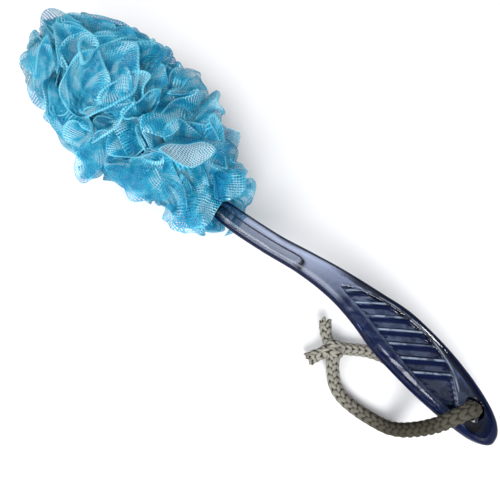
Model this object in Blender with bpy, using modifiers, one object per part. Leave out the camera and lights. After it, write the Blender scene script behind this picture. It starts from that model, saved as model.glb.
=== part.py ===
"""Back scrubber: a clear moulded handle, six ruffs of gathered netting tied on its stem, and a rope
hanging loop with a knot and two short ends.

Metres. +X points from the netting to the hanging end, +Z is up, and z = 0 is the surface that the
scrubber lies on. x = 0 is the middle of its length.
"""
import math

import bmesh
import bpy
from mathutils import Vector

# Overall size
LENGTH = 0.373
TAIL_X = LENGTH / 2
SPINE_Y = -0.012
GAP = 0.0003

# Handle moulding. Distances run from the tip of the tail along the length.
SPINE_HEIGHT = [(0.0, 0.0105), (0.02, 0.0215), (0.05, 0.0335), (0.08, 0.0425), (0.102, 0.0455), (0.125, 0.0430),
                (0.15, 0.0370), (0.185, 0.0333), (0.22, 0.0373), (0.26, 0.0420), (0.30, 0.0472), (0.373, 0.0560)]
HALF_WIDTH = [(0.0, 0.0126), (0.02, 0.0129), (0.04, 0.0149), (0.056, 0.0153), (0.07, 0.0145), (0.085, 0.0112),
              (0.103, 0.0084), (0.13, 0.0067), (0.175, 0.0068), (0.187, 0.0062), (0.198, 0.0050), (0.373, 0.0050)]
HALF_THICKNESS = [(0.0, 0.0056), (0.056, 0.0063), (0.103, 0.0056), (0.13, 0.0047), (0.187, 0.0047),
                  (0.198, 0.0050), (0.373, 0.0050)]
SQUARENESS_GRIP = 3.0
SQUARENESS_STEM = 2.0
STEM_START = 0.198
STEM_END = 0.3715
KNOB_RADIUS = 0.0068
KNOB_RINGS = 7
NOSE_LENGTH = 0.030
NOSE_DEPTH = 0.012
COLLAR_RADIUS = 0.0080
COLLAR_WIDTH = 0.0020
SECTION_POINTS = 24
SECTION_STEP = 0.0055

# Hanging hole, leaf panel with its slanting ribs, and the channel under the neck
HOLE_DISTANCE = 0.017
HOLE_RADIUS = 0.00575
LEAF_OUTLINE = [(0.101, 0.002), (0.080, -0.0068), (0.060, -0.0092), (0.040, -0.0055), (0.0275, 0.0035),
                (0.0245, 0.0085), (0.044, 0.0108), (0.066, 0.0090), (0.085, 0.0058)]
LEAF_DEPTH = 0.0019
RIB_COUNT = 7
RIB_PITCH = 0.0092
RIB_FIRST = 0.0405
RIB_WIDTH = 0.0022
RIB_ANGLE = math.radians(44)
CHANNEL_START = 0.129
CHANNEL_END = 0.187
CHANNEL_HALF_WIDTH = 0.0024
CHANNEL_DEPTH = 0.0026

# Netting ruffs and the cords that tie them. The netting hangs over to the +Y side of the stem.
RUFF_COUNT = 6
RUFF_START = 0.190
RUFF_PITCH = (LENGTH - RUFF_START) / RUFF_COUNT
HEAD_RADIUS = [(0.190, 0.0145), (0.197, 0.0190), (0.207, 0.0262), (0.221, 0.0350), (0.24, 0.0415), (0.262, 0.0432),
               (0.285, 0.0450), (0.305, 0.0445), (0.322, 0.0420), (0.338, 0.0370), (0.352, 0.0305), (0.373, 0.0190)]
RUFF_SIDESHIFT = [0.003, 0.009, 0.0115, 0.012, 0.0115, 0.007]
RUFF_BORE = 0.0110
RUFF_DIP = 0.0025
RUFF_STEPS = 30
TIE_RADIUS = 0.0009
TIE_KNOT = 0.0021

# Rope loop
ROPE_RADIUS = 0.0036
KNOT_CENTRE = Vector((0.0965, -0.0270, 0.0070))
ROPE_ROUTE = [
    (0.1016, -0.0208, 0.0055), (0.1072, -0.0158, 0.0042), (0.1131, -0.0120, 0.0039), (0.1211, -0.0090, 0.0038),
    (0.1335, -0.0075, 0.0038), (0.1465, -0.0090, 0.0038), (0.1565, -0.0110, 0.0040), (0.1640, -0.0117, 0.0068),
    (0.1685, -0.0120, 0.0120), (0.1695, -0.0120, 0.0190), (0.1693, -0.0124, 0.0265), (0.1680, -0.0154, 0.0325),
    (0.1657, -0.0205, 0.0347), (0.1633, -0.0257, 0.0325), (0.1605, -0.0300, 0.0268), (0.1570, -0.0333, 0.0200),
    (0.1530, -0.0362, 0.0140), (0.1485, -0.0386, 0.0085), (0.1425, -0.0406, 0.0050), (0.1315, -0.0426, 0.0038),
    (0.1225, -0.0434, 0.0038), (0.1155, -0.0428, 0.0038), (0.1100, -0.0404, 0.0039), (0.1059, -0.0367, 0.0043),
    (0.1027, -0.0332, 0.0052),
]
ROPE_SPACING = 0.0062
TAIL_ROUTES = {
    "rope_tail_upper": [(0.0901, -0.0228, 0.0076), (0.0873, -0.0202, 0.0078), (0.0839, -0.0166, 0.0076)],
    "rope_tail_lower": [(0.0933, -0.0332, 0.0062), (0.0920, -0.0356, 0.0058), (0.0907, -0.0382, 0.0052)],
}
TAIL_RADIUS = 0.0034

COLOURS = {
    "clear_blue": ((0.10, 0.20, 0.52, 1.0), 0.08),
    "netting_blue": ((0.05, 0.42, 0.72, 1.0), 0.55),
    "tie_white": ((0.62, 0.74, 0.80, 1.0), 0.70),
    "rope_beige": ((0.42, 0.39, 0.32, 1.0), 0.90),
}


def clear_scene():
    for item in list(bpy.data.objects):
        bpy.data.objects.remove(item, do_unlink=True)


def new_collection(name):
    group = bpy.data.collections.new(name)
    bpy.context.scene.collection.children.link(group)
    return group


def smooth(keys, at):
    """Read a smooth curve through (position, value) keys at one position."""
    last = len(keys) - 1
    low = next((i for i in range(last) if at <= keys[i + 1][0]), last - 1)

    def slope(i):
        before, after = keys[max(i - 1, 0)], keys[min(i + 1, last)]
        return (after[1] - before[1]) / (after[0] - before[0])

    (start, first), (end, second) = keys[low], keys[low + 1]
    span = end - start
    t = (at - start) / span
    return ((2 * t**3 - 3 * t**2 + 1) * first + (t**3 - 2 * t**2 + t) * span * slope(low)
            + (3 * t**2 - 2 * t**3) * second + (t**3 - t**2) * span * slope(low + 1))


def spine(distance):
    """Point on the handle's centre line and the direction towards the netting there."""
    step = 0.0005
    point = Vector((TAIL_X - distance, SPINE_Y, smooth(SPINE_HEIGHT, distance)))
    rise = smooth(SPINE_HEIGHT, distance + step) - smooth(SPINE_HEIGHT, distance - step)
    return point, Vector((-2 * step, 0, rise)).normalized()


def paint(item, finish):
    """Give an object a material of its own in one of the four finishes."""
    colour, roughness = COLOURS[finish]
    material = bpy.data.materials.new(item.name)
    material.use_nodes = True
    shader = material.node_tree.nodes["Principled BSDF"]
    shader.inputs["Base Color"].default_value = colour
    shader.inputs["Roughness"].default_value = roughness
    item.data.materials.clear()
    item.data.materials.append(material)


def mesh_object(name, mesh, group):
    item = bpy.data.objects.new(name, mesh)
    group.objects.link(item)
    return item


def as_cutter(item):
    item.hide_render = True
    item.display_type = "WIRE"
    return item


def loft(name, rings, group):
    """Closed body through rings of points, with flat ends."""
    bm = bmesh.new()
    loops = [[bm.verts.new(point) for point in ring] for ring in rings]
    count = len(rings[0])
    for first, second in zip(loops[:-1], loops[1:]):
        for i in range(count):
            j = (i + 1) % count
            bm.faces.new((first[i], first[j], second[j], second[i]))
    bm.faces.new(loops[0])
    bm.faces.new(reversed(loops[-1]))
    bmesh.ops.recalc_face_normals(bm, faces=bm.faces)
    mesh = bpy.data.meshes.new(name)
    bm.to_mesh(mesh)
    bm.free()
    return mesh_object(name, mesh, group)


def prism(name, outline, low, high, group):
    """Upright prism over a plan outline."""
    rings = [[(x, y, z) for x, y in outline] for z in (low, high)]
    return loft(name, rings, group)


def boolean(item, cutter, operation="DIFFERENCE"):
    cut = item.modifiers.new(cutter.name, "BOOLEAN")
    cut.operation = operation
    cut.solver = "EXACT"
    cut.object = cutter


def section(distance, half_width, half_thickness, squareness):
    """Ring of points round the centre line: an ellipse, squarer as squareness rises above 2."""
    centre, along = spine(distance)
    side = Vector((0, 1, 0))
    up = side.cross(along)
    ring = []
    for i in range(SECTION_POINTS):
        angle = 2 * math.pi * i / SECTION_POINTS
        c, s = math.cos(angle), math.sin(angle)
        across = half_width * math.copysign(abs(c) ** (2 / squareness), c)
        over = half_thickness * math.copysign(abs(s) ** (2 / squareness), s)
        ring.append(centre + side * across + up * over)
    return ring


def nose_factor(distance, length):
    """Elliptical rounding at the tip of the tail."""
    return math.sqrt(1 - (1 - distance / length) ** 2) if distance < length else 1.0


def grip_section(distance):
    half_width = smooth(HALF_WIDTH, distance) * nose_factor(distance, NOSE_LENGTH)
    half_thickness = smooth(HALF_THICKNESS, distance) * nose_factor(distance, NOSE_DEPTH)
    blend = min(max((distance - CHANNEL_END) / (STEM_START - CHANNEL_END), 0), 1)
    squareness = SQUARENESS_GRIP + (SQUARENESS_STEM - SQUARENESS_GRIP) * blend
    return section(distance, half_width, half_thickness, squareness)


def stem_section(distance, radius):
    return section(distance, radius, radius, SQUARENESS_STEM)


def collar_distances():
    """One collar at each end of every ruff but the last, whose outer end is the stem's knob."""
    return [RUFF_START + RUFF_PITCH * i for i in range(1, RUFF_COUNT)]


def stem_rings():
    """Round stem with a raised collar between ruffs, and a rounded knob at its end."""
    radius = HALF_WIDTH[-1][1]
    rings = [stem_section(STEM_START, radius)]
    for middle in collar_distances():
        rings.append(stem_section(middle - COLLAR_WIDTH, radius))
        rings.append(stem_section(middle - COLLAR_WIDTH / 2, COLLAR_RADIUS))
        rings.append(stem_section(middle + COLLAR_WIDTH / 2, COLLAR_RADIUS))
        rings.append(stem_section(middle + COLLAR_WIDTH, radius))
        rings.append(stem_section(middle + RUFF_PITCH / 2, radius))
    rings.pop()
    first = math.asin(radius / KNOB_RADIUS)
    for i in range(KNOB_RINGS):
        angle = first + (math.pi - first) * i / KNOB_RINGS
        distance = STEM_END - KNOB_RADIUS - KNOB_RADIUS * math.cos(angle)
        rings.append(stem_section(distance, KNOB_RADIUS * math.sin(angle)))
    return rings


def handle_body(group):
    nose_rings = 7
    distances = [NOSE_DEPTH * (1 - math.cos(math.pi / 2 * (i + 0.35) / nose_rings)) for i in range(nose_rings)]
    grip_steps = int((STEM_START - NOSE_DEPTH) / SECTION_STEP)
    distances += [NOSE_DEPTH + (STEM_START - NOSE_DEPTH) * i / grip_steps for i in range(grip_steps)]
    return loft("handle", [grip_section(d) for d in distances] + stem_rings(), group)


def band(name, start, end, lift_low, lift_high, half_width, group):
    """Slab that follows the handle's arch, between two heights over its centre line."""
    steps = max(int((end - start) / SECTION_STEP), 2)
    rings = []
    for i in range(steps + 1):
        centre, along = spine(start + (end - start) * i / steps)
        side = Vector((0, 1, 0))
        up = side.cross(along)
        corners = ((-1, lift_low), (1, lift_low), (1, lift_high), (-1, lift_high))
        rings.append([centre + side * half_width * sign + up * lift for sign, lift in corners])
    return loft(name, rings, group)


def closed_curve(points, per_span):
    """Smooth closed outline through plan points given as (distance from the tail, offset to -Y)."""
    count = len(points)
    outline = []
    for i in range(count):
        a, b, c, d = (Vector(points[(i + k) % count]) for k in (-1, 0, 1, 2))
        for step in range(per_span):
            t = step / per_span
            p = 0.5 * (2 * b + (c - a) * t + (2 * a - 5 * b + 4 * c - d) * t**2 + (3 * b - a - 3 * c + d) * t**3)
            outline.append((TAIL_X - p.x, SPINE_Y - p.y))
    return outline


def leaf_cutter(group):
    """Leaf-shaped recess in the top of the grip, broken by slanting ribs that stay standing."""
    floor = HALF_THICKNESS[1][1] - LEAF_DEPTH
    leaf = as_cutter(band("leaf_recess", 0.018, 0.106, floor, 0.02, 0.02, group))
    outline = as_cutter(prism("leaf_outline", closed_curve(LEAF_OUTLINE, 4), 0, 0.1, group))
    boolean(leaf, outline, "INTERSECT")
    reach = 0.03
    along = Vector((math.cos(RIB_ANGLE), math.sin(RIB_ANGLE)))
    across = Vector((-along.y, along.x)) * RIB_WIDTH / 2
    for i in range(RIB_COUNT):
        middle = Vector((TAIL_X - RIB_FIRST - RIB_PITCH * i, SPINE_Y))
        corners = [middle - along * reach - across, middle + along * reach - across,
                   middle + along * reach + across, middle - along * reach + across]
        rib = as_cutter(prism(f"leaf_rib_{i + 1}", [tuple(c) for c in corners], 0, 0.1, group))
        boolean(leaf, rib)
    return leaf


def channel_cutter(group):
    """Narrow channel along the underside of the neck, with a round end towards the grip."""
    floor = -HALF_THICKNESS[3][1] + CHANNEL_DEPTH
    channel = as_cutter(band("neck_channel", CHANNEL_START - 0.01, CHANNEL_END, -0.02, floor, 0.01, group))
    end_x = TAIL_X - CHANNEL_START
    turns = [math.pi * i / 8 for i in range(9)]
    arc = [(end_x + CHANNEL_HALF_WIDTH * math.sin(a), SPINE_Y + CHANNEL_HALF_WIDTH * math.cos(a)) for a in turns]
    far_x = TAIL_X - CHANNEL_END - 0.01
    outline = arc + [(far_x, SPINE_Y - CHANNEL_HALF_WIDTH), (far_x, SPINE_Y + CHANNEL_HALF_WIDTH)]
    boolean(channel, as_cutter(prism("neck_channel_outline", outline, 0, 0.1, group)), "INTERSECT")
    return channel


def hole_cutter(group):
    bm = bmesh.new()
    bmesh.ops.create_cone(bm, cap_ends=True, segments=24, radius1=HOLE_RADIUS, radius2=HOLE_RADIUS, depth=0.06)
    mesh = bpy.data.meshes.new("hang_hole")
    bm.to_mesh(mesh)
    bm.free()
    cutter = as_cutter(mesh_object("hang_hole", mesh, group))
    cutter.location = spine(HOLE_DISTANCE)[0]
    return cutter


def shade(item, degrees=35):
    item.data.shade_smooth()
    item.data.set_sharp_from_angle(angle=math.radians(degrees))


def make_handle(parts, cutters):
    handle = handle_body(parts)
    for cutter in (leaf_cutter(cutters), channel_cutter(cutters), hole_cutter(cutters)):
        boolean(handle, cutter)
    shade(handle)
    paint(handle, "clear_blue")


def ruff_middle(number):
    return RUFF_START + RUFF_PITCH * (number - 0.5)


def ruff_profile(number):
    """Half section of one ruff: it follows the head's outline and draws in a little at both edges."""
    half = RUFF_PITCH / 2 - GAP
    steps = 8
    points = [(0, half)]
    for i in range(steps + 1):
        z = half * math.cos(math.pi * i / steps)
        dip = RUFF_DIP * (z / half) ** 4
        points.append((smooth(HEAD_RADIUS, ruff_middle(number) - z) - dip, z))
    return points + [(0, -half)]


def bore_cutter(group):
    """Round way through every ruff for the stem, its collars and the ties."""
    rings = []
    for i in range(24):
        centre, along = spine(RUFF_START - 0.01 + (LENGTH - RUFF_START + 0.02) * i / 23)
        side = Vector((0, 1, 0))
        up = side.cross(along)
        turns = [2 * math.pi * k / 20 for k in range(20)]
        rings.append([centre + (side * math.cos(t) + up * math.sin(t)) * RUFF_BORE for t in turns])
    return as_cutter(loft("ruff_bore", rings, group))


def make_ruff(number, parts, bore, floor):
    """One length of netting, gathered round the stem; where it rests it is pressed flat."""
    name = f"netting_ruff_{number}"
    bm = bmesh.new()
    verts = [bm.verts.new((r, 0, z)) for r, z in ruff_profile(number)]
    for first, second in zip(verts, verts[1:]):
        bm.edges.new((first, second))
    mesh = bpy.data.meshes.new(name)
    bm.to_mesh(mesh)
    bm.free()
    ruff = mesh_object(name, mesh, parts)
    turn = ruff.modifiers.new("turn", "SCREW")
    turn.axis = "Z"
    turn.steps = turn.render_steps = RUFF_STEPS
    turn.use_merge_vertices = True
    turn.merge_threshold = 0.00005
    ruff.location = spine(ruff_middle(number))[0] + Vector((0, RUFF_SIDESHIFT[number - 1], 0))
    ruff.rotation_euler = (0, math.pi / 2, 0)
    boolean(ruff, bore)
    boolean(ruff, floor)
    paint(ruff, "netting_blue")


def make_tie(number, parts, cutters):
    """Draw cord pulled tight round the stem in the middle of a ruff, with its knot on top."""
    centre, along = spine(ruff_middle(number))
    major = HALF_WIDTH[-1][1] + GAP + TIE_RADIUS
    steps, sides = 24, 8
    bm = bmesh.new()
    loops = []
    for i in range(steps):
        angle = 2 * math.pi * i / steps
        out = Vector((0, 1, 0)) * math.cos(angle) + Vector((0, 1, 0)).cross(along) * math.sin(angle)
        loop = []
        for j in range(sides):
            turn = 2 * math.pi * j / sides
            loop.append(bm.verts.new(centre + out * (major + TIE_RADIUS * math.cos(turn))
                                     + along * TIE_RADIUS * math.sin(turn)))
        loops.append(loop)
    for i in range(steps):
        for j in range(sides):
            a, b = loops[i], loops[(i + 1) % steps]
            bm.faces.new((a[j], a[(j + 1) % sides], b[(j + 1) % sides], b[j]))
    bmesh.ops.recalc_face_normals(bm, faces=bm.faces)
    mesh = bpy.data.meshes.new(f"tie_cord_{number}")
    bm.to_mesh(mesh)
    bm.free()
    tie = mesh_object(f"tie_cord_{number}", mesh, parts)
    bm = bmesh.new()
    bmesh.ops.create_icosphere(bm, subdivisions=2, radius=TIE_KNOT)
    knot_mesh = bpy.data.meshes.new(f"tie_knot_{number}")
    bm.to_mesh(knot_mesh)
    bm.free()
    knot = as_cutter(mesh_object(f"tie_knot_{number}", knot_mesh, cutters))
    knot.location = centre + Vector((0, 1, 0)).cross(along) * (HALF_WIDTH[-1][1] + GAP + TIE_KNOT)
    boolean(tie, knot, "UNION")
    paint(tie, "tie_white")


def even_path(route, spacing):
    """Evenly spaced points on a smooth curve through a route's own points."""
    points = [Vector(p) for p in route]
    points = [2 * points[0] - points[1]] + points + [2 * points[-1] - points[-2]]
    fine = []
    for a, b, c, d in zip(points, points[1:], points[2:], points[3:]):
        for step in range(24):
            t = step / 24
            fine.append(0.5 * (2 * b + (c - a) * t + (2 * a - 5 * b + 4 * c - d) * t**2
                               + (3 * b - a - 3 * c + d) * t**3))
    fine.append(points[-2])
    lengths = [0.0]
    for a, b in zip(fine, fine[1:]):
        lengths.append(lengths[-1] + (b - a).length)
    count = max(round(lengths[-1] / spacing), 2)
    path, at = [], 0
    for i in range(count + 1):
        goal = lengths[-1] * i / count
        while at < len(fine) - 2 and lengths[at + 1] < goal:
            at += 1
        share = (goal - lengths[at]) / (lengths[at + 1] - lengths[at])
        path.append(fine[at].lerp(fine[at + 1], share))
    return path


def make_tube(name, route, radius, spacing, pivot, parts):
    """Round cord along a route, its origin on the hanging hole's axis."""
    path = even_path(route, spacing)
    curve = bpy.data.curves.new(name, "CURVE")
    curve.dimensions = "3D"
    curve.bevel_depth = radius
    curve.bevel_resolution = 3
    curve.use_fill_caps = True
    spline = curve.splines.new("POLY")
    spline.points.add(len(path) - 1)
    for spot, point in zip(spline.points, path):
        spot.co = (*point, 1)
    tube = bpy.data.objects.new(name, curve)
    parts.objects.link(tube)
    tube.parent = pivot
    tube.matrix_parent_inverse = pivot.matrix_world.inverted()
    paint(tube, "rope_beige")


def make_knot(pivot, parts):
    """Overhand knot as one compact lump, wider along the loop than it is tall."""
    bm = bmesh.new()
    bmesh.ops.create_icosphere(bm, subdivisions=3, radius=1.0)
    bmesh.ops.scale(bm, vec=(0.0062, 0.0066, 0.0058), verts=bm.verts)
    mesh = bpy.data.meshes.new("rope_knot")
    bm.to_mesh(mesh)
    bm.free()
    knot = mesh_object("rope_knot", mesh, parts)
    knot.location = KNOT_CENTRE
    knot.rotation_euler = (0, 0, math.radians(-40))
    knot.parent = pivot
    knot.matrix_parent_inverse = pivot.matrix_world.inverted()
    shade(knot)
    paint(knot, "rope_beige")


def floor_cutter(group):
    bm = bmesh.new()
    bmesh.ops.create_cube(bm, size=1.0)
    bmesh.ops.scale(bm, vec=(LENGTH, 0.2, 0.05), verts=bm.verts)
    mesh = bpy.data.meshes.new("floor_cut")
    bm.to_mesh(mesh)
    bm.free()
    cutter = as_cutter(mesh_object("floor_cut", mesh, group))
    cutter.location = (0, 0, -0.025)
    return cutter


def main():
    clear_scene()
    parts = new_collection("back_scrubber")
    cutters = new_collection("cutters")
    make_handle(parts, cutters)
    bore = bore_cutter(cutters)
    floor = floor_cutter(cutters)
    for number in range(1, RUFF_COUNT + 1):
        make_ruff(number, parts, bore, floor)
        make_tie(number, parts, cutters)
    pivot = bpy.data.objects.new("loop_pivot", None)
    pivot.location = spine(HOLE_DISTANCE)[0]
    parts.objects.link(pivot)
    bpy.context.view_layer.update()
    make_tube("rope_loop", ROPE_ROUTE, ROPE_RADIUS, ROPE_SPACING, pivot, parts)
    for name, route in TAIL_ROUTES.items():
        make_tube(name, route, TAIL_RADIUS, ROPE_RADIUS, pivot, parts)
    make_knot(pivot, parts)


main()
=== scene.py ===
"""Looks of the back scrubber: moulded clear handle, gathered netting head and braided rope loop."""
import math

import bmesh
import bpy
import numpy as np
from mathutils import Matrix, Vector


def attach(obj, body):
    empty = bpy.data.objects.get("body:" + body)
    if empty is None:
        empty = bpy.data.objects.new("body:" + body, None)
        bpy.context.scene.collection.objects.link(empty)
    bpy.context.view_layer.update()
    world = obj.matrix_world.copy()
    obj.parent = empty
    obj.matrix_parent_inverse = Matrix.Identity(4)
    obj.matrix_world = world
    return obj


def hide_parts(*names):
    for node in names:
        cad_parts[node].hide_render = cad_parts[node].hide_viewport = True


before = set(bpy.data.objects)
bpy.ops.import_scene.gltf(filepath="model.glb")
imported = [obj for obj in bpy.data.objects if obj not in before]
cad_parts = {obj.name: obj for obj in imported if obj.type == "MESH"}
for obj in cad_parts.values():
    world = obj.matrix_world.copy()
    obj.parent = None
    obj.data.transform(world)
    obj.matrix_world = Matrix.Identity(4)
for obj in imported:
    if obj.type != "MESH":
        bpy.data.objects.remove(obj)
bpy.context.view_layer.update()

# ---------------------------------------------------------------- shared sizes, in metres
LENGTH = 0.373
TAIL_X = LENGTH / 2
SPINE_Y = -0.012
SIDE = np.array([0.0, 1.0, 0.0])
STEM_RADIUS = 0.0050

# Curves of the handle, as (distance from the tail's tip, value) keys.
SPINE_HEIGHT = [
    (0.0, 0.0105), (0.02, 0.0215), (0.05, 0.0335), (0.08, 0.0425), (0.102, 0.0455), (0.125, 0.0430),
    (0.15, 0.0370), (0.185, 0.0333), (0.22, 0.0373), (0.26, 0.0420), (0.30, 0.0472), (0.373, 0.0560),
]
HALF_WIDTH = [
    (0.0, 0.0126), (0.02, 0.0129), (0.04, 0.0149), (0.056, 0.0153), (0.07, 0.0145), (0.085, 0.0112),
    (0.103, 0.0084), (0.13, 0.0067), (0.175, 0.0068), (0.187, 0.0062), (0.198, 0.0050), (0.373, 0.0050),
]
HALF_THICKNESS = [
    (0.0, 0.0056), (0.056, 0.0063), (0.103, 0.0056), (0.13, 0.0047), (0.187, 0.0047), (0.198, 0.0050),
    (0.373, 0.0050),
]


# ---------------------------------------------------------------- curves
def smooth(keys, at):
    """Read a smooth curve through (position, value) keys at many positions at once."""
    keys = np.array(keys, float)
    where, value = keys[:, 0], keys[:, 1]
    at = np.asarray(at, float)
    low = np.clip(np.searchsorted(where, at) - 1, 0, len(keys) - 2)
    before = np.clip(np.arange(len(keys)) - 1, 0, None)
    after = np.clip(np.arange(len(keys)) + 1, None, len(keys) - 1)
    slope = (value[after] - value[before]) / (where[after] - where[before])
    span = where[low + 1] - where[low]
    t = (at - where[low]) / span
    return ((2 * t**3 - 3 * t**2 + 1) * value[low] + (t**3 - 2 * t**2 + t) * span * slope[low]
            + (3 * t**2 - 2 * t**3) * value[low + 1] + (t**3 - t**2) * span * slope[low + 1])


def value_at(keys, at):
    """Read a smooth curve through (position, value) keys at one position."""
    return float(smooth(keys, [at])[0])


def step_up(x, low, high):
    """Smooth step from 0 at low to 1 at high."""
    t = np.clip((x - low) / (high - low), 0, 1)
    return t * t * (3 - 2 * t)


def step_down(x, low, high):
    """Smooth step from 1 at low to 0 at high."""
    return 1 - step_up(x, low, high)


def stripe(off, width):
    """Soft line: 1 where off is 0, nearly gone at twice its width."""
    return np.exp(-((off / width) ** 2))


def unit(vector):
    """The same direction at length 1."""
    return vector / np.linalg.norm(vector)


def run_along(points):
    """Distance run along a line of points, from 0 at the first of them."""
    return np.concatenate([[0], np.cumsum(np.linalg.norm(np.diff(points, axis=0), axis=1))])


def spline_span(a, b, c, d, t):
    """Smooth curve from b to c at shares t of the way; a and d are the points before and after."""
    return 0.5 * (2 * b + (c - a) * t + (2 * a - 5 * b + 4 * c - d) * t**2 + (3 * b - a - 3 * c + d) * t**3)


def smooth_closed(points, per_span):
    """Smooth closed curve through points, with per_span points from each to the next."""
    points = np.array(points)
    t = (np.arange(per_span) / per_span)[:, None]
    neighbours = (np.roll(points, shift, 0) for shift in (1, 0, -1, -2))
    return np.concatenate([spline_span(a, b, c, d, t) for a, b, c, d in zip(*neighbours)])


def smooth_open(points, spacing):
    """Evenly spaced points on a smooth curve through a route's own points, and the curve's length."""
    per_span = 24
    points = np.array(points, float)
    points = np.concatenate([[2 * points[0] - points[1]], points, [2 * points[-1] - points[-2]]])
    t = (np.arange(per_span) / per_span)[:, None]
    spans = [spline_span(a, b, c, d, t) for a, b, c, d in zip(points, points[1:], points[2:], points[3:])]
    fine = np.concatenate(spans + [points[-2:-1]])
    length = run_along(fine)
    even = np.linspace(0, length[-1], max(int(round(length[-1] / spacing)), 2) + 1)
    return np.stack([np.interp(even, length, fine[:, k]) for k in range(3)], -1), length[-1]


# ---------------------------------------------------------------- meshes
def link(name, data):
    """New object in the scene."""
    item = bpy.data.objects.new(name, data)
    bpy.context.scene.collection.objects.link(item)
    return item


def grid_mesh(name, points, around=False, along=False, uv=None):
    """Quad mesh over a grid of points; around and along close it in its second and first direction."""
    rows, columns = points.shape[:2]
    i = np.arange(rows if along else rows - 1)
    j = np.arange(columns if around else columns - 1)
    ii, jj = np.meshgrid(i, j, indexing="ij")
    ni, nj = (ii + 1) % rows, (jj + 1) % columns
    corners = ((ii, jj), (ni, jj), (ni, nj), (ii, nj))
    faces = np.stack([row * columns + column for row, column in corners], -1).reshape(-1, 4)
    mesh = bpy.data.meshes.new(name)
    mesh.from_pydata(points.reshape(-1, 3).tolist(), [], faces.tolist())
    if uv is not None:
        layer = mesh.uv_layers.new(name="UVMap")
        places = ((ii, jj), (ii + 1, jj), (ii + 1, jj + 1), (ii, jj + 1))
        corner_uv = np.stack([uv[row, column] for row, column in places], 2)
        layer.data.foreach_set("uv", corner_uv.astype(np.float32).ravel())
    mesh.shade_smooth()
    return link(name, mesh)


def write_attribute(item, name, values):
    """Store one number for each vertex, for the materials to read."""
    layer = item.data.attributes.new(name=name, type="FLOAT", domain="POINT")
    layer.data.foreach_set("value", np.ascontiguousarray(values, np.float32).ravel())


def close_ends(mesh):
    """Fill a tube's open ends and turn all its faces outwards."""
    bm = bmesh.new()
    bm.from_mesh(mesh)
    bmesh.ops.holes_fill(bm, edges=[edge for edge in bm.edges if edge.is_boundary])
    bmesh.ops.recalc_face_normals(bm, faces=bm.faces)
    bm.to_mesh(mesh)
    bm.free()


def join(name, items):
    """One object out of several meshes."""
    bpy.ops.object.select_all(action="DESELECT")
    for item in items:
        item.select_set(True)
    bpy.context.view_layer.objects.active = items[0]
    bpy.ops.object.join()
    items[0].name = name
    items[0].data.name = name
    return items[0]


# ---------------------------------------------------------------- shader nodes
def new_material(name):
    """New material, with its node tree and its Principled shader."""
    material = bpy.data.materials.new(name)
    material.use_nodes = True
    tree = material.node_tree
    return material, tree, tree.nodes["Principled BSDF"]


def put(tree, node, name, value):
    """Set one input, given by name or number, to a value or to another node's output."""
    socket = node.inputs[name]
    if isinstance(value, bpy.types.NodeSocket):
        tree.links.new(value, socket)
    else:
        socket.default_value = value


def put_all(tree, node, **inputs):
    """Set several inputs by name, with _ for a space."""
    for name, value in inputs.items():
        put(tree, node, name.replace("_", " "), value)


def add(tree, kind, **inputs):
    """Add a shader node and set its inputs."""
    node = tree.nodes.new(kind)
    put_all(tree, node, **inputs)
    return node


def put_out(tree, surface):
    """Make a shader the material's surface."""
    put(tree, tree.nodes["Material Output"], "Surface", surface)


def math_node(tree, operation, first, second=0.0, third=0.0):
    """Result of one operation on up to three numbers or outputs."""
    node = tree.nodes.new("ShaderNodeMath")
    node.operation = operation
    for index, value in enumerate((first, second, third)):
        put(tree, node, index, value)
    return node.outputs[0]


def mix_colour(tree, factor, first, second):
    """Colour between two others; each may be a colour or another node's output."""
    node = tree.nodes.new("ShaderNodeMix")
    node.data_type = "RGBA"
    for index, value in ((0, factor), (6, first), (7, second)):
        put(tree, node, index, value)
    return node.outputs[2]


def mix_shader(tree, factor, first, second):
    node = tree.nodes.new("ShaderNodeMixShader")
    for index, value in enumerate((factor, first, second)):
        put(tree, node, index, value)
    return node.outputs[0]


def ramp(tree, value, low, high, start=0.0, end=1.0):
    """Smooth step of a value, from start at low to end at high."""
    node = tree.nodes.new("ShaderNodeMapRange")
    node.interpolation_type = "SMOOTHSTEP"
    for index, entry in enumerate((value, low, high, start, end)):
        put(tree, node, index, entry)
    return node.outputs[0]


def attribute(tree, name):
    """Number stored on the vertices."""
    node = tree.nodes.new("ShaderNodeAttribute")
    node.attribute_name = name
    return node.outputs["Fac"]


def coordinates(tree, kind):
    """Texture coordinates of one kind, whole and split into their numbers."""
    whole = add(tree, "ShaderNodeTexCoord").outputs[kind]
    return whole, add(tree, "ShaderNodeSeparateXYZ", Vector=whole).outputs


def noise(tree, place, scale, detail):
    return add(tree, "ShaderNodeTexNoise", Vector=place, Scale=scale, Detail=detail).outputs[0]


def bump(tree, height, strength, distance):
    return add(tree, "ShaderNodeBump", Height=height, Strength=strength, Distance=distance).outputs[0]


# ---------------------------------------------------------------- materials
NET_PITCH = 0.0018


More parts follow.
